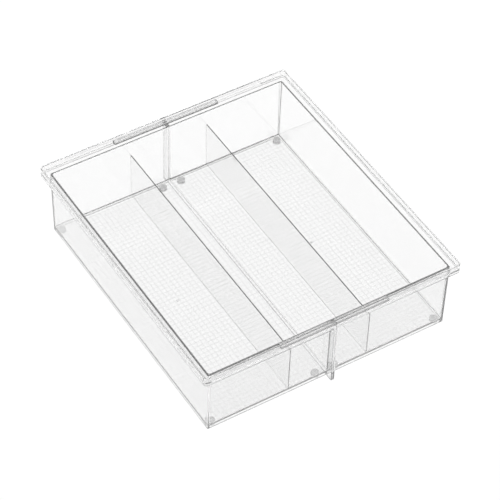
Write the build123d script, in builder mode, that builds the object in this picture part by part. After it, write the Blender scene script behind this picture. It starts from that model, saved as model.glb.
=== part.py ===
from build123d import *
from math import radians, tan
import os

# Drawer organizer insert: two mirror-image clear trays, each open on one side, stand with their open
# sides together and share the middle compartment. A flat rail lies in a groove along the front rim
# and another along the back rim, and the trays slide apart along both.
# Frame: +X to the right across the two trays, +Y to the back, +Z up, origin on the surface that the
# feet stand on, under the middle of the seam. Sizes are in millimetres.

# overall sizes
inside_width = 288.0  # between the side walls, at the top
inside_depth = 325.0  # between the front and back walls, at the top
inside_height = 79.5  # from the floor up to the ledge of the rim

# walls and floor
wall = 2.0
floor = 2.0
draft = 0.8  # degrees that each wall leans outward
inner_corner = 2.8  # radius of an upright corner, inside
outer_corner = 2.0  # radius of an upright corner, outside, at the ledge
floor_round = 1.5  # radius where the floor meets a wall
ledge_round = 0.5  # radius where a wall turns into the ledge
lip_round = 0.8  # radius where the ledge turns up into the lip

# rim: a ledge that steps outward, with a lip that stands above it and hangs below it
ledge_width = 8.2
ledge_thickness = 2.0
lip = 1.8
lip_rise = 7.0
lip_drop = 4.6
rim_corner = 4.5
rim_round = 0.5

# seam between the trays
seam_gap = 0.3
flange = 2.0

# rails and the grooves that they slide in
rail_length = 130.0
rail_width = 4.9
rail_height = 3.6
rail_round = 0.4
rail_side_gap = 0.2
rail_under_gap = 0.15
groove_depth = 0.8
groove_height = 4.0
groove_reach = 123.0  # from the seam to the closed end of a groove

# dividers
divider = 1.2
divider_height = 60.5
divider_gap = 0.3  # round the floor's rounded edges

# feet
foot_radius = 4.5
foot_height = 4.0
foot_round = 1.0
foot_inset = 5.7  # from the skirt's inner face to a foot's centre
foot_from_seam = 11.6
skirt_lift = 1.0  # the skirt clears the surface by this

# gate mark, where the plastic entered the mould
gate_radius = 1.6
gate_height = 0.3
gate_from_centre = 84.0

# heights
skirt_bottom = skirt_lift
floor_bottom = foot_height
floor_top = floor_bottom + floor
ledge_top = floor_top + inside_height
ledge_bottom = ledge_top - ledge_thickness
lip_top = ledge_top + lip_rise
lip_bottom = ledge_top - lip_drop


def lean(height):
    """How far a wall stands in from its place at the ledge, at a height."""
    return (ledge_top - height) * tan(radians(draft))


# plan sizes
rim_width = inside_width + 2 * (ledge_width + lip)
rim_depth = inside_depth + 2 * (ledge_width + lip)
floor_width = inside_width - 2 * lean(floor_top)
floor_depth = inside_depth - 2 * lean(floor_top)
skirt_width = inside_width - 2 * lean(skirt_bottom)
skirt_depth = inside_depth - 2 * lean(skirt_bottom)
tray_edge = seam_gap / 2
divider_x = inside_width / 6  # three equal compartments
ledge_outer_y = inside_depth / 2 + ledge_width
rail_y = ledge_outer_y + groove_depth - rail_side_gap - rail_width / 2

os.makedirs("parts", exist_ok=True)

# Left tray: floor, three walls, rim, skirt and seam flanges
with BuildPart() as left_tray:
    # rim block, hollow below the ledge
    with BuildSketch(Plane.XY.offset(lip_bottom)):
        RectangleRounded(rim_width, rim_depth, rim_corner)
    extrude(amount=lip_top - lip_bottom)
    with BuildSketch(Plane.XY.offset(lip_bottom)):
        RectangleRounded(rim_width - 2 * lip, rim_depth - 2 * lip, rim_corner - lip)
    extrude(amount=ledge_bottom - lip_bottom, mode=Mode.SUBTRACT)

    # walls and skirt, leaning outward towards the rim
    with BuildSketch(Plane.XY.offset(ledge_top)):
        RectangleRounded(inside_width + 2 * wall, inside_depth + 2 * wall, outer_corner)
    extrude(amount=skirt_bottom - ledge_top, taper=draft)

    # space inside the lip, above the ledge
    with BuildSketch(Plane.XY.offset(ledge_top)):
        RectangleRounded(rim_width - 2 * lip, rim_depth - 2 * lip, rim_corner - lip)
    extrude(amount=lip_rise, mode=Mode.SUBTRACT)
    fillet(left_tray.edges().group_by(Axis.Z)[-1], rim_round)

    # compartment, and the hollow under the floor
    with BuildSketch(Plane.XY.offset(ledge_top)):
        RectangleRounded(inside_width, inside_depth, inner_corner)
    extrude(amount=-inside_height, taper=draft, mode=Mode.SUBTRACT)
    floor_face = left_tray.faces().filter_by(Axis.Z).filter_by_position(Axis.Z, floor_top - 0.1, floor_top + 0.1)
    fillet(floor_face.edges(), floor_round)
    ledge_face = left_tray.faces().filter_by(Axis.Z).filter_by_position(Axis.Z, ledge_top - 0.1, ledge_top + 0.1)
    fillet(ledge_face.face().inner_wires()[0].edges(), ledge_round)
    ledge_face = left_tray.faces().filter_by(Axis.Z).filter_by_position(Axis.Z, ledge_top - 0.1, ledge_top + 0.1)
    fillet(ledge_face.face().outer_wire().edges(), lip_round)
    with BuildSketch(Plane.XY.offset(skirt_bottom)):
        RectangleRounded(skirt_width, skirt_depth, inner_corner)
    extrude(amount=floor_bottom - skirt_bottom, mode=Mode.SUBTRACT)

    # grooves for the rails, in the lip's inner face
    with BuildSketch(Plane.XY.offset(ledge_top)):
        with GridLocations(0, 2 * ledge_outer_y, 1, 2):
            Rectangle(2 * groove_reach, 2 * groove_depth)
    extrude(amount=groove_height, mode=Mode.SUBTRACT)

    # the open side
    split(bisect_by=Plane.YZ.offset(-tray_edge), keep=Keep.BOTTOM)

    # skirt along the open side
    with BuildSketch(Plane.XY.offset(skirt_bottom)):
        with Locations((-tray_edge - flange / 2, 0)):
            Rectangle(flange, skirt_depth + wall)
    extrude(amount=floor_bottom - skirt_bottom)

    # flanges that stand out from the front and back walls, flush with the lip
    with BuildSketch(Plane.YZ.offset(-tray_edge - flange)):
        with BuildLine():
            Polyline(
                ((skirt_depth + wall) / 2, skirt_bottom),
                (rim_depth / 2, skirt_bottom),
                (rim_depth / 2, ledge_bottom),
                ((inside_depth + wall) / 2, ledge_bottom),
                close=True,
            )
        make_face()
        mirror(about=Plane.YZ)
    extrude(amount=flange)

    # gate mark
    with BuildSketch(Plane.XY.offset(floor_top)):
        with Locations((-gate_from_centre, 0)):
            Circle(gate_radius)
    extrude(amount=gate_height)
left_tray.part.label = "left_tray"
export_step(left_tray.part, "parts/left_tray.step")

# Right tray: the mirror image of the left one
with BuildPart() as right_tray:
    mirror(left_tray.part, about=Plane.YZ)
right_tray.part.label = "right_tray"
export_step(right_tray.part, "parts/right_tray.step")

# Dividers: thin sheets bonded between the front and back walls, with ends that follow the walls' lean
divider_top = floor_top + divider_height
for side, sign in (("left", -1), ("right", 1)):
    with BuildPart() as divider_sheet:
        with BuildSketch(Plane.YZ.offset(sign * divider_x)):
            with BuildLine():
                Polyline(
                    (-floor_depth / 2, floor_top),
                    (floor_depth / 2, floor_top),
                    (inside_depth / 2 - lean(divider_top), divider_top),
                    (lean(divider_top) - inside_depth / 2, divider_top),
                    close=True,
                )
            face = make_face()
            chamfer(face.vertices().group_by(Axis.Z)[0], floor_round + divider_gap)
        extrude(amount=divider / 2, both=True)
    divider_sheet.part.label = f"{side}_divider"
    export_step(divider_sheet.part, f"parts/{side}_divider.step")

# Rails: one in the front grooves and one in the back grooves, across the seam
for place, sign in (("front", -1), ("back", 1)):
    with BuildPart() as rail:
        with BuildSketch(Plane.XY.offset(ledge_top + rail_under_gap)):
            with Locations((0, sign * rail_y)):
                Rectangle(rail_length, rail_width)
        extrude(amount=rail_height)
        fillet(rail.edges(), rail_round)
    rail.part.label = f"{place}_rail"
    export_step(rail.part, f"parts/{place}_rail.step")

# Feet: clear pads under the floor, one near each corner of each tray
foot_y = floor_depth / 2 - foot_inset
foot_places = {
    "outer": floor_width / 2 - foot_inset,
    "inner": foot_from_seam,
}
for side, side_sign in (("left", -1), ("right", 1)):
    for place, foot_x in foot_places.items():
        for end, end_sign in (("front", -1), ("back", 1)):
            with BuildPart() as foot:
                with BuildSketch(Plane.XY):
                    with Locations((side_sign * foot_x, end_sign * foot_y)):
                        Circle(foot_radius)
                extrude(amount=foot_height)
                fillet(foot.edges().group_by(Axis.Z)[0], foot_round)
            foot.part.label = f"{side}_foot_{end}_{place}"
            export_step(foot.part, f"parts/{foot.part.label}.step")
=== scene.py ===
import math

import bpy
from mathutils import Matrix, Vector


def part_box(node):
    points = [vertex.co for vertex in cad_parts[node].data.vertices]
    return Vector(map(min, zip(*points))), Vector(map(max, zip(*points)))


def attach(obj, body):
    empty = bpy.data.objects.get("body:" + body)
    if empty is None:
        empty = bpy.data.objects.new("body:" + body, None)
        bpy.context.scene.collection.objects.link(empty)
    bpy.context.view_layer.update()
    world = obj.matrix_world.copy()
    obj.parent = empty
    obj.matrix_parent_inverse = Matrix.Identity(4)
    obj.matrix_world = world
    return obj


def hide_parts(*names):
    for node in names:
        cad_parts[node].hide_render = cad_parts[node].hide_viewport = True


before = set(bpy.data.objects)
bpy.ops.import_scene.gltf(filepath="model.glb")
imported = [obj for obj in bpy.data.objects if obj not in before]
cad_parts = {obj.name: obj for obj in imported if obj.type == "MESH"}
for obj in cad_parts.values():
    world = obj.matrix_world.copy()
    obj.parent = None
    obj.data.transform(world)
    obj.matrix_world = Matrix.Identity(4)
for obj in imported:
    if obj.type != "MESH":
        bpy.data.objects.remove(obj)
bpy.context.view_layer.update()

bl_info = {
    "name": "Drawer organizer insert",
    "version": (1, 0, 0),
    "blender": (4, 5, 0),
    "location": "View3D > Sidebar > Organizer",
    "description": "Finishes the clear expandable drawer organizer around its fixed frame",
    "category": "Object",
}

MM = 0.001
TOUCH = 1e-6  # points of the frame nearer than this are one point
FLAT = math.radians(0.5)  # neighbouring faces that turn by less than this are one flat face
SOFT = math.radians(30)  # edges of flat-sided pieces that turn by less than this are shaded smooth
SOFT_ROUND = math.radians(40)  # the same, for round pieces
FACING = 0.99  # a face points along an axis when its normal reaches this far along it
LEVEL = 0.999  # the same, for the floor, which has no slope at all


def linear(hex_colour):
    """The linear colour of an sRGB hex value, with full alpha."""
    shares = [int(hex_colour[i : i + 2], 16) / 255 for i in (0, 2, 4)]
    return tuple(s / 12.92 if s <= 0.04045 else ((s + 0.055) / 1.055) ** 2.4 for s in shares) + (1.0,)


def add_node(tree, kind, inputs=None, **settings):
    """Add a node with its settings; each input is given a value or another node's output."""
    node = tree.nodes.new(kind)
    for name, value in settings.items():
        setattr(node, name, value)
    for name, value in (inputs or {}).items():
        if isinstance(value, bpy.types.NodeSocket):
            tree.links.new(value, node.inputs[name])
        else:
            node.inputs[name].default_value = value
    return node


# Sizes and colours that a user would change


class OrganizerSizes(bpy.types.PropertyGroup):
    """Sizes of the details that the frame leaves out."""

    grid_pitch: bpy.props.FloatProperty(
        name="Grid pitch",
        description="Distance between neighbouring lines of the floor's square grid",
        default=5.5 * MM,
        unit="LENGTH",
    )
    grid_rib: bpy.props.FloatProperty(
        name="Grid rib",
        description="Width of the raised lines between the floor's squares",
        default=0.9 * MM,
        unit="LENGTH",
    )
    grid_depth: bpy.props.FloatProperty(
        name="Grid depth",
        description="How far the squares lie below the lines",
        default=0.28 * MM,
        unit="LENGTH",
    )
    edge_round: bpy.props.FloatProperty(
        name="Edge round",
        description="Round of the tray's outer edges",
        default=0.5 * MM,
        unit="LENGTH",
    )
    gate_radius: bpy.props.FloatProperty(
        name="Gate radius",
        description="Radius of the mark where the plastic entered the mould",
        default=1.6 * MM,
        unit="LENGTH",
    )
    divider_lean: bpy.props.FloatProperty(
        name="Divider lean",
        description="How far the ends of a divider lean outward",
        default=math.radians(0.8),
        subtype="ANGLE",
    )
    divider_corner: bpy.props.FloatProperty(
        name="Divider corner",
        description="Round of a divider's lower corners, which clear the floor's rounded edges",
        default=1.8 * MM,
        unit="LENGTH",
    )
    divider_round: bpy.props.FloatProperty(
        name="Divider round",
        description="Round of a divider's edges",
        default=0.2 * MM,
        unit="LENGTH",
    )
    rail_round: bpy.props.FloatProperty(
        name="Rail round",
        description="Round of a rail's edges",
        default=0.5 * MM,
        unit="LENGTH",
    )
    rail_channel_wall: bpy.props.FloatProperty(
        name="Rail channel wall",
        description="Width of the edge left beside the channel along a rail's top",
        default=0.8 * MM,
        unit="LENGTH",
    )
    rail_channel_depth: bpy.props.FloatProperty(
        name="Rail channel depth",
        description="Depth of the channel along a rail's top",
        default=1.0 * MM,
        unit="LENGTH",
    )
    rail_channel_slope: bpy.props.FloatProperty(
        name="Rail channel slope",
        description="Width of the sloping sides of the channel along a rail's top",
        default=0.2 * MM,
        unit="LENGTH",
    )
    foot_round: bpy.props.FloatProperty(
        name="Foot round",
        description="Round of a foot's lower edge",
        default=1.0 * MM,
        unit="LENGTH",
    )
    foot_ring: bpy.props.FloatProperty(
        name="Foot ring",
        description="Width of the ring that a foot stands on",
        default=1.0 * MM,
        unit="LENGTH",
    )
    foot_dish: bpy.props.FloatProperty(
        name="Foot dish",
        description="Depth of the dish inside a foot's ring",
        default=0.8 * MM,
        unit="LENGTH",
    )
    foot_dish_slope: bpy.props.FloatProperty(
        name="Foot dish slope",
        description="Width of the sloping side of a foot's dish",
        default=0.5 * MM,
        unit="LENGTH",
    )


class OrganizerColours(bpy.types.PropertyGroup):
    """Colours of the clear plastics."""

    tray: bpy.props.FloatVectorProperty(
        name="Tray",
        description="Tint of the moulded trays",
        subtype="COLOR",
        size=4,
        default=linear("FCFCFC"),
    )
    divider: bpy.props.FloatVectorProperty(
        name="Divider",
        description="Tint of the dividers",
        subtype="COLOR",
        size=4,
        default=linear("FCFCFC"),
    )
    rail: bpy.props.FloatVectorProperty(
        name="Rail",
        description="Tint of the rails",
        subtype="COLOR",
        size=4,
        default=linear("FAFAFA"),
    )
    foot: bpy.props.FloatVectorProperty(
        name="Foot",
        description="Tint of the soft feet",
        subtype="COLOR",
        size=4,
        default=linear("E4E4E4"),
    )


class OrganizerStage(bpy.types.PropertyGroup):
    """Camera and light."""

    camera_azimuth: bpy.props.FloatProperty(
        name="Camera azimuth",
        description="Turn of the camera about the upright axis, from straight in front",
        default=math.radians(-32.952),
        subtype="ANGLE",
    )
    camera_elevation: bpy.props.FloatProperty(
        name="Camera elevation",
        description="Height of the camera above the horizon",
        default=math.radians(46.59),
        subtype="ANGLE",
    )
    camera_roll: bpy.props.FloatProperty(
        name="Camera roll",
        description="Turn of the camera about its own line of sight",
        default=math.radians(1.879),
        subtype="ANGLE",
    )
    camera_distance: bpy.props.FloatProperty(
        name="Camera distance",
        description="Distance from the camera to the point that it looks at",
        default=2556.025 * MM,
        unit="LENGTH",
    )
    camera_target: bpy.props.FloatVectorProperty(
        name="Camera target",
        description="Point that the camera looks at",
        subtype="TRANSLATION",
        default=(3.027 * MM, -3.233 * MM, 40.0 * MM),
    )
    camera_lens: bpy.props.FloatProperty(
        name="Camera lens",
        description="Focal length on a 36 mm wide sensor, in millimetres",
        default=173.21,
    )
    floor_width: bpy.props.FloatProperty(
        name="Floor width",
        description="Width of the studio floor",
        default=8.0,
        unit="LENGTH",
    )
    floor_drop: bpy.props.FloatProperty(
        name="Floor drop",
        description="How far the studio floor lies below the feet",
        default=0.2 * MM,
        unit="LENGTH",
    )
    air_brightness: bpy.props.FloatProperty(
        name="Air brightness",
        description="Brightness of the studio's surroundings",
        default=0.14,
    )
    softbox_place: bpy.props.FloatVectorProperty(
        name="Softbox place",
        description="Place of the softbox above the organizer",
        subtype="TRANSLATION",
        default=(0.1, 0.15, 2.0),
    )
    softbox_width: bpy.props.FloatProperty(
        name="Softbox width",
        description="Width of the square softbox",
        default=2.2,
        unit="LENGTH",
    )
    softbox_power: bpy.props.FloatProperty(
        name="Softbox power",
        description="Power of the softbox, in watts",
        default=56.0,
    )
    light_bounces: bpy.props.IntProperty(
        name="Light bounces",
        description="How often light may bounce on its way along the inside of a clear wall",
        default=64,
    )
    clear_layers: bpy.props.IntProperty(
        name="Clear layers",
        description="How many clear surfaces a lamp shines through",
        default=48,
    )


# Materials


FLOW_WIDTH = 30 * MM  # width of the ripples that the flow of the plastic leaves
SCUFF_WIDTH = 8 * MM  # width of the patches that handling has dulled
SCUFF_RANGE = (0.6, 1.4)  # how far handling takes the roughness below and above its value


def clear_plastic(name, colour, ior, roughness, haze, ripple, clarity):
    """Clear plastic with slight ripples and dull patches.

    haze tints the lamps' light, which passes straight through. ripple is the depth of the ripples, and
    clarity the share of light that isn't scattered inside.
    """
    material = bpy.data.materials.get(name)
    if material is not None:
        return material
    material = bpy.data.materials.new(name)
    material.use_nodes = True
    tree = material.node_tree
    tree.nodes.clear()
    place = add_node(tree, "ShaderNodeTexCoord")
    flow = add_node(
        tree,
        "ShaderNodeTexNoise",
        {"Vector": place.outputs["Object"], "Scale": 1 / FLOW_WIDTH, "Detail": 1.0, "Roughness": 0.4},
    )
    bump = add_node(
        tree,
        "ShaderNodeBump",
        {"Height": flow.outputs["Fac"], "Strength": 1.0, "Distance": ripple},
    )
    handling = add_node(
        tree,
        "ShaderNodeTexNoise",
        {"Vector": place.outputs["Object"], "Scale": 1 / SCUFF_WIDTH, "Detail": 4.0},
    )
    dull = add_node(
        tree,
        "ShaderNodeMapRange",
        {
            "Value": handling.outputs["Fac"],
            "To Min": roughness * SCUFF_RANGE[0],
            "To Max": roughness * SCUFF_RANGE[1],
        },
    )
    clear = add_node(
        tree,
        "ShaderNodeBsdfPrincipled",
        {
            "Base Color": colour,
            "Roughness": dull.outputs["Result"],
            "IOR": ior,
            "Transmission Weight": clarity,
            "Normal": bump.outputs["Normal"],
        },
    )
    path = add_node(tree, "ShaderNodeLightPath")
    lamp = add_node(
        tree,
        "ShaderNodeMath",
        {0: path.outputs["Is Shadow Ray"], 1: path.outputs["Is Diffuse Ray"]},
        operation="MAXIMUM",
    )
    through = add_node(tree, "ShaderNodeBsdfTransparent", {"Color": haze})
    surface = add_node(
        tree,
        "ShaderNodeMixShader",
        {0: lamp.outputs["Value"], 1: clear.outputs["BSDF"], 2: through.outputs["BSDF"]},
    )
    add_node(tree, "ShaderNodeOutputMaterial", {"Surface": surface.outputs["Shader"]})
    return material


def matt_white_paint():
    """The studio floor's paint."""
    # gives a plain white ground that shows through the clear walls without a highlight of its own
    material = bpy.data.materials.new("matt_white_paint")
    material.use_nodes = True
    shader = material.node_tree.nodes["Principled BSDF"]
    shader.inputs["Base Color"].default_value = linear("FAFAFA")
    shader.inputs["Roughness"].default_value = 0.9
    return material


def clear_polystyrene(colour):
    """The trays' moulded polystyrene."""
    # gives a bright, glassy wall with faint ripples from the mould, and dark lines only at its edges
    return clear_plastic("clear_polystyrene", colour, 1.59, 0.03, linear("FEFEFE"), 0.02 * MM, 0.92)


def rib_painted_shade():
    """The sides of the floor's raised lines, tinted grey as painted shade."""
    # gives a soft, slightly dull slope whose grey tint is painted shade, so the grid shows as pale grey
    # lines on a clear floor
    # painted shade: the rib sides are the tray's plastic tinted grey, standing in for the darkening that
    # their slopes cause
    painted_grey, haze = linear("DEDEDE"), linear("FEFEFE")
    return clear_plastic("rib_painted_shade", painted_grey, 1.59, 0.12, haze, 0.02 * MM, 0.95)


def clear_polystyrene_sheet(colour):
    """The dividers' flat sheet."""
    # gives a flatter, stiller face than the moulded walls, seen mostly by its thin grey edges
    return clear_plastic("clear_polystyrene_sheet", colour, 1.59, 0.02, linear("FEFEFE"), 0.01 * MM, 0.95)


def clear_polycarbonate(colour):
    """The rails' extruded polycarbonate."""
    # gives a slightly greyer, denser bar that stands out from the rim round it
    return clear_plastic("clear_polycarbonate", colour, 1.585, 0.04, linear("FDFDFD"), 0.01 * MM, 0.97)


def clear_polyurethane(colour):
    """The feet's soft polyurethane."""
    # gives a cloudy grey pad with a blurred edge, unlike the hard plastic above it
    return clear_plastic("clear_polyurethane", colour, 1.5, 0.12, linear("F4F4F4"), 0.02 * MM, 0.85)


# Shared steps of modelling


def deselect_all():
    """Leave object mode clear of any selection."""
    if bpy.context.object is not None and bpy.context.object.mode != "OBJECT":
        bpy.ops.object.mode_set(mode="OBJECT")
    bpy.ops.object.select_all(action="DESELECT")


def select_faces(piece, wanted):
    """Select, in edit mode, only the faces for which wanted(face) holds."""
    bpy.ops.mesh.select_all(action="DESELECT")
    bpy.ops.object.mode_set(mode="OBJECT")
    for face in piece.data.polygons:
        face.select = wanted(face)
    bpy.ops.object.mode_set(mode="EDIT")


def copy_of_node(node_name, piece_name):
    """A new object with the merged mesh of a node of the frame, in edit mode with all selected."""
    deselect_all()
    piece = bpy.data.objects.new(piece_name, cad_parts[node_name].data.copy())
    bpy.context.scene.collection.objects.link(piece)
    bpy.context.view_layer.objects.active = piece
    piece.select_set(True)
    bpy.ops.object.mode_set(mode="EDIT")
    bpy.ops.mesh.select_mode(type="FACE")
    bpy.ops.mesh.select_all(action="SELECT")
    bpy.ops.mesh.remove_doubles(threshold=TOUCH)
    bpy.ops.mesh.dissolve_limited(angle_limit=FLAT)
    return piece


def finish(piece, material, body, slot_name, *nodes, smooth=None):
    """Give a piece its material and its place in the frame."""
    deselect_all()
    bpy.context.view_layer.objects.active = piece
    piece.select_set(True)
    if smooth is not None:
        bpy.ops.object.shade_smooth_by_angle(angle=smooth)
        bpy.ops.object.modifier_add(type="WEIGHTED_NORMAL")
        piece.modifiers[-1].mode = "FACE_AREA"
        piece.modifiers[-1].weight = 100
        piece.modifiers[-1].keep_sharp = True
        bpy.ops.object.modifier_apply(modifier=piece.modifiers[-1].name)
    piece.data.materials.clear()
    piece.data.materials.append(material)
    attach(piece, body)
    if nodes:
        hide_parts(*nodes)


def add_block(name, low, high):
    """A box between two corners, in edit mode with nothing selected."""
    deselect_all()
    low, high = Vector(low), Vector(high)
    bpy.ops.mesh.primitive_cube_add(size=1, location=(low + high) / 2, scale=high - low)
    block = bpy.context.object
    block.name = name
    bpy.ops.object.transform_apply(location=True, rotation=True, scale=True)
    bpy.ops.object.mode_set(mode="EDIT")
    bpy.ops.mesh.select_all(action="DESELECT")
    return block


def context_piece(name):
    """The object just added, named, with its place in its mesh, in edit mode."""
    piece = bpy.context.object
    piece.name = name
    bpy.ops.object.transform_apply(location=True, rotation=True, scale=True)
    bpy.ops.object.mode_set(mode="EDIT")
    return piece


def select_edges(piece, wanted):
    """Select, in edit mode, only the edges for which wanted(one end, other end) holds."""
    bpy.ops.mesh.select_mode(type="EDGE")
    bpy.ops.mesh.select_all(action="DESELECT")
    bpy.ops.object.mode_set(mode="OBJECT")
    points = piece.data.vertices
    for edge in piece.data.edges:
        edge.select = wanted(points[edge.vertices[0]].co, points[edge.vertices[1]].co)
    bpy.ops.object.mode_set(mode="EDIT")


def lines_between(low, high, pitch):
    """Places of evenly spaced lines strictly between two ends, as near to the pitch as they fit."""
    count = round((high - low) / pitch)
    return [low + (high - low) * i / count for i in range(1, count)]


class ORGANIZER_OT_trays(bpy.types.Operator):
    """Both trays, with the square grid moulded into their floors"""

    bl_idname = "organizer.trays"
    bl_label = "Trays"

    # where the frame's gate mark is looked for: above the floor between these heights, and this near
    gate_low = 0.1 * MM
    gate_high = 1 * MM
    gate_near = 3 * MM
    seam_near = 0.5 * MM  # an edge this near the middle plane lies on the open side

    def execute(self, context):
        sizes = context.scene.organizer_sizes
        colour = context.scene.organizer_colours.tray
        material = clear_polystyrene(colour)
        rib_shade = rib_painted_shade()
        for side in ("left", "right"):
            piece = copy_of_node(f"{side}_tray", f"{side}_tray_shell")
            bpy.ops.object.mode_set(mode="OBJECT")
            upward = [f for f in piece.data.polygons if f.normal.z > FACING]
            level = max(upward, key=lambda f: f.area).center.z
            bpy.ops.object.mode_set(mode="EDIT")
            gate = self.clear_gate(piece, level)
            self.round_edges(piece, level, sizes)
            self.mould_grid(piece, level, sizes)
            finish(piece, material, f"{side}_unit", "tray", f"{side}_tray", smooth=SOFT)
            # the second slot is the rib sides' painted shade, a grey-tinted copy of the tray's plastic
            piece.data.materials.append(rib_shade)
            self.rib_sides(piece, level, sizes)
            self.add_gate(side, gate, level, sizes, material)
        return {"FINISHED"}

    def clear_gate(self, piece, level):
        """Level the floor where the gate mark stands, and give the mark's centre."""
        bpy.ops.object.mode_set(mode="OBJECT")
        upward = [f.center.copy() for f in piece.data.polygons if f.normal.z > FACING]
        top = [c for c in upward if self.gate_low < c.z - level < self.gate_high]
        if not top:
            raise RuntimeError("no gate mark on the floor of " + piece.name)
        centre = sum(top, Vector()) / len(top)
        bpy.ops.object.mode_set(mode="EDIT")
        select_faces(
            piece, lambda f: f.center.z > level + TOUCH and (f.center - centre).length < self.gate_near
        )
        bpy.ops.mesh.delete(type="FACE")
        bpy.ops.mesh.select_all(action="SELECT")
        bpy.ops.mesh.fill_holes(sides=0)
        bpy.ops.mesh.select_all(action="SELECT")
        bpy.ops.mesh.dissolve_limited(angle_limit=FLAT)
        return centre

    def round_edges(self, piece, level, sizes):
        """Round the outer upright edges of the seam flanges, and the lower edges of the lip."""
        low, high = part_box(piece.name.replace("_shell", ""))
        bpy.ops.object.mode_set(mode="OBJECT")
        middle = (level + high.z) / 2
        downward = [f.center.z for f in piece.data.polygons if f.normal.z < -FACING]
        lip_bottom = min(height for height in downward if height > middle)
        bpy.ops.object.mode_set(mode="EDIT")

        def on_flange(a, b):
            return abs(a.z - b.z) > (high.z - low.z) / 2 and min(abs(a.y), abs(b.y)) > high.y - TOUCH

        def under_lip(a, b):
            on_seam = max(abs(a.x), abs(b.x)) < self.seam_near
            return max(abs(a.z - lip_bottom), abs(b.z - lip_bottom)) < TOUCH and not on_seam

        for wanted in (on_flange, under_lip):
            select_edges(piece, wanted)
            bpy.ops.mesh.bevel(offset=sizes.edge_round, segments=3)

    def mould_grid(self, piece, level, sizes):
        """Cut the floor into squares and sink each one between raised lines."""

        def on_floor(face):
            return face.normal.z > LEVEL and abs(face.center.z - level) < TOUCH

        bpy.ops.object.mode_set(mode="OBJECT")
        floor = max((f for f in piece.data.polygons if on_floor(f)), key=lambda f: f.area)
        corners = [piece.data.vertices[i].co.copy() for i in floor.vertices]
        bpy.ops.object.mode_set(mode="EDIT")
        for axis in (0, 1):
            low, high = min(c[axis] for c in corners), max(c[axis] for c in corners)
            across = Vector((axis == 0, axis == 1, 0))
            for place in lines_between(low, high, sizes.grid_pitch):
                select_faces(piece, on_floor)
                bpy.ops.mesh.bisect(plane_co=across * place, plane_no=across)
        bpy.ops.mesh.select_mode(type="FACE")
        select_faces(piece, on_floor)
        bpy.ops.mesh.inset(thickness=sizes.grid_rib / 2, depth=-sizes.grid_depth, use_individual=True)

    def rib_sides(self, piece, level, sizes):
        """Give the sloping sides of the raised lines the second material slot, whose grey tint is painted
        shade.
        """
        for face in piece.data.polygons:
            below = level - face.center.z
            between = 0 < below < sizes.grid_depth * 0.9
            sloping = 0.1 < face.normal.z < LEVEL
            face.material_index = int(between and sloping)

    def add_gate(self, side, centre, level, sizes, material):
        """The small round mark where the plastic entered the mould."""
        deselect_all()
        bpy.ops.mesh.primitive_cylinder_add(
            vertices=32,
            radius=sizes.gate_radius,
            depth=0.5 * MM,
            location=(centre.x, centre.y, level + 0.05 * MM),
        )
        mark = context_piece(f"{side}_gate_mark")
        select_edges(mark, lambda a, b: a.z > level and b.z > level)
        bpy.ops.mesh.bevel(offset=0.2 * MM, segments=3)
        bpy.ops.mesh.select_mode(type="FACE")
        select_faces(mark, lambda f: f.normal.z > FACING)
        bpy.ops.mesh.inset(thickness=0.6 * MM, depth=-0.15 * MM)
        finish(mark, material, f"{side}_unit", "tray", smooth=SOFT_ROUND)


class ORGANIZER_OT_dividers(bpy.types.Operator):
    """The two dividers, whose ends lean with the walls"""

    bl_idname = "organizer.dividers"
    bl_label = "Dividers"

    def execute(self, context):
        sizes = context.scene.organizer_sizes
        colour = context.scene.organizer_colours.divider
        material = clear_polystyrene_sheet(colour)
        for side in ("left", "right"):
            low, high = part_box(f"{side}_divider")
            middle = (low + high) / 2
            sheet = add_block(f"{side}_divider_sheet", low, high)
            lean = (high.z - low.z) * math.tan(sizes.divider_lean)
            bpy.ops.mesh.select_mode(type="FACE")
            select_faces(sheet, lambda f: f.normal.z < -FACING)
            bpy.ops.transform.resize(
                value=(1, 1 - 2 * lean / (high.y - low.y), 1), center_override=(middle.x, middle.y, low.z)
            )
            select_edges(sheet, lambda a, b: abs(a.x - b.x) > TOUCH and a.z < middle.z and b.z < middle.z)
            bpy.ops.mesh.bevel(offset=sizes.divider_corner, segments=4)
            bpy.ops.mesh.select_all(action="SELECT")
            bpy.ops.mesh.edges_select_sharp(sharpness=math.radians(60))
            bpy.ops.mesh.bevel(offset=sizes.divider_round, segments=2)
            finish(sheet, material, f"{side}_unit", "divider", f"{side}_divider", smooth=SOFT)
        return {"FINISHED"}


class ORGANIZER_OT_rails(bpy.types.Operator):
    """The two channelled rails that lie in the rim's grooves"""

    bl_idname = "organizer.rails"
    bl_label = "Rails"

    def execute(self, context):
        sizes = context.scene.organizer_sizes
        colour = context.scene.organizer_colours.rail
        material = clear_polycarbonate(colour)
        for side in ("front", "back"):
            low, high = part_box(f"{side}_rail")
            rail = add_block(f"{side}_rail_bar", low, high)
            bpy.ops.mesh.select_all(action="SELECT")
            bpy.ops.mesh.bevel(offset=sizes.rail_round, segments=3)
            bpy.ops.mesh.select_mode(type="FACE")
            select_faces(rail, lambda f: f.normal.z > FACING)
            bpy.ops.mesh.inset(thickness=sizes.rail_channel_wall, depth=0)
            bpy.ops.mesh.inset(thickness=sizes.rail_channel_slope, depth=-sizes.rail_channel_depth)
            finish(rail, material, f"{side}_link", "rail", f"{side}_rail", smooth=SOFT)
        return {"FINISHED"}


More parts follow.
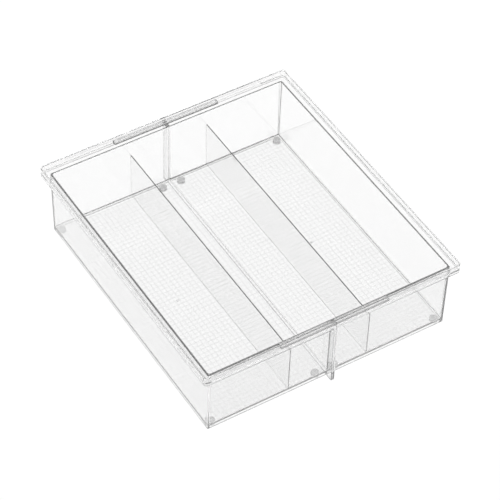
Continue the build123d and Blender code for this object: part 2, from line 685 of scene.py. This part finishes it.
class ORGANIZER_OT_feet(bpy.types.Operator):
    """The soft feet: one is modelled, and the others are copies of it"""

    bl_idname = "organizer.feet"
    bl_label = "Feet"

    def execute(self, context):
        sizes = context.scene.organizer_sizes
        colour = context.scene.organizer_colours.foot
        material = clear_polyurethane(colour)
        nodes = sorted(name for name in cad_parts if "_foot_" in name)
        low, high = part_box(nodes[0])
        deselect_all()
        bpy.ops.mesh.primitive_cylinder_add(
            vertices=48, radius=(high.x - low.x) / 2, depth=high.z - low.z, location=(low + high) / 2
        )
        first = context_piece(nodes[0] + "_pad")
        bpy.ops.mesh.select_mode(type="FACE")
        select_faces(first, lambda f: f.normal.z < -FACING)
        bpy.ops.mesh.bevel(offset=sizes.foot_round, segments=5)
        select_faces(first, lambda f: f.normal.z < -FACING)
        bpy.ops.mesh.inset(thickness=sizes.foot_ring, depth=0)
        bpy.ops.mesh.inset(thickness=sizes.foot_dish_slope, depth=-sizes.foot_dish)
        deselect_all()
        home = (low + high) / 2
        for node in nodes:
            pad = first
            if node != nodes[0]:
                pad = bpy.data.objects.new(node + "_pad", first.data.copy())
                context.scene.collection.objects.link(pad)
                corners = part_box(node)
                pad.data.transform(Matrix.Translation((corners[0] + corners[1]) / 2 - home))
            finish(pad, material, node.split("_")[0] + "_unit", "foot", node, smooth=SOFT_ROUND)
        return {"FINISHED"}


class ORGANIZER_OT_stage(bpy.types.Operator):
    """Pale floor, soft light and the camera"""

    bl_idname = "organizer.stage"
    bl_label = "Stage"

    def execute(self, context):
        deselect_all()
        settings = context.scene.organizer_stage
        bpy.ops.mesh.primitive_plane_add(
            size=settings.floor_width, location=(0, 0, -settings.floor_drop)
        )
        floor = context.object
        floor.name = "studio_floor"
        floor.data.materials.append(matt_white_paint())

        world = bpy.data.worlds.new("studio_air")
        world.use_nodes = True
        air = world.node_tree.nodes["Background"]
        air.inputs["Color"].default_value = linear("FFFFFF")
        air.inputs["Strength"].default_value = settings.air_brightness
        context.scene.world = world
        context.scene.view_settings.view_transform = "Standard"
        context.scene.cycles.max_bounces = settings.light_bounces
        context.scene.cycles.transmission_bounces = settings.light_bounces
        context.scene.cycles.transparent_max_bounces = settings.clear_layers

        bpy.ops.object.light_add(type="AREA", location=settings.softbox_place)
        softbox = context.object
        softbox.name = "softbox"
        softbox.data.shape = "SQUARE"
        softbox.data.size = settings.softbox_width
        softbox.data.energy = settings.softbox_power
        # the plastic neither mirrors the softbox nor shows it through itself, which keeps the rims grey
        softbox.visible_glossy = False
        softbox.visible_transmission = False

        bpy.ops.object.camera_add()
        camera = context.object
        camera.name = "studio_camera"
        camera.data.lens = settings.camera_lens
        turn = (
            Matrix.Rotation(settings.camera_azimuth, 4, "Z")
            @ Matrix.Rotation(math.pi / 2 - settings.camera_elevation, 4, "X")
            @ Matrix.Rotation(settings.camera_roll, 4, "Z")
        )
        back = turn @ Vector((0, 0, settings.camera_distance))
        camera.matrix_world = Matrix.Translation(Vector(settings.camera_target) + back) @ turn
        context.scene.camera = camera
        return {"FINISHED"}


class ORGANIZER_PT_build(bpy.types.Panel):
    """The operators in the order they are used, with their settings"""

    bl_idname = "ORGANIZER_PT_build"
    bl_label = "Drawer organizer"
    bl_space_type = "VIEW_3D"
    bl_region_type = "UI"
    bl_category = "Organizer"

    def draw(self, context):
        column = self.layout.column()
        for operator in ("stage", "trays", "dividers", "rails", "feet"):
            column.operator("organizer." + operator)
        for group in ("organizer_sizes", "organizer_colours", "organizer_stage"):
            settings = getattr(context.scene, group)
            column.separator()
            for name in settings.bl_rna.properties.keys():
                if name not in ("rna_type", "name"):
                    column.prop(settings, name)


CLASSES = (
    OrganizerSizes,
    OrganizerColours,
    OrganizerStage,
    ORGANIZER_OT_trays,
    ORGANIZER_OT_dividers,
    ORGANIZER_OT_rails,
    ORGANIZER_OT_feet,
    ORGANIZER_OT_stage,
    ORGANIZER_PT_build,
)


def register():
    """Make the settings, the operators and the panel known to Blender."""
    for cls in CLASSES:
        bpy.utils.register_class(cls)
    bpy.types.Scene.organizer_sizes = bpy.props.PointerProperty(type=OrganizerSizes)
    bpy.types.Scene.organizer_colours = bpy.props.PointerProperty(type=OrganizerColours)
    bpy.types.Scene.organizer_stage = bpy.props.PointerProperty(type=OrganizerStage)


def unregister():
    """Take them out again."""
    del bpy.types.Scene.organizer_stage
    del bpy.types.Scene.organizer_colours
    del bpy.types.Scene.organizer_sizes
    for cls in reversed(CLASSES):
        bpy.utils.unregister_class(cls)


def main():
    """Build the whole scene."""
    register()
    bpy.ops.organizer.stage()
    bpy.ops.organizer.trays()
    bpy.ops.organizer.dividers()
    bpy.ops.organizer.rails()
    bpy.ops.organizer.feet()


if __name__ == "__main__":
    main()
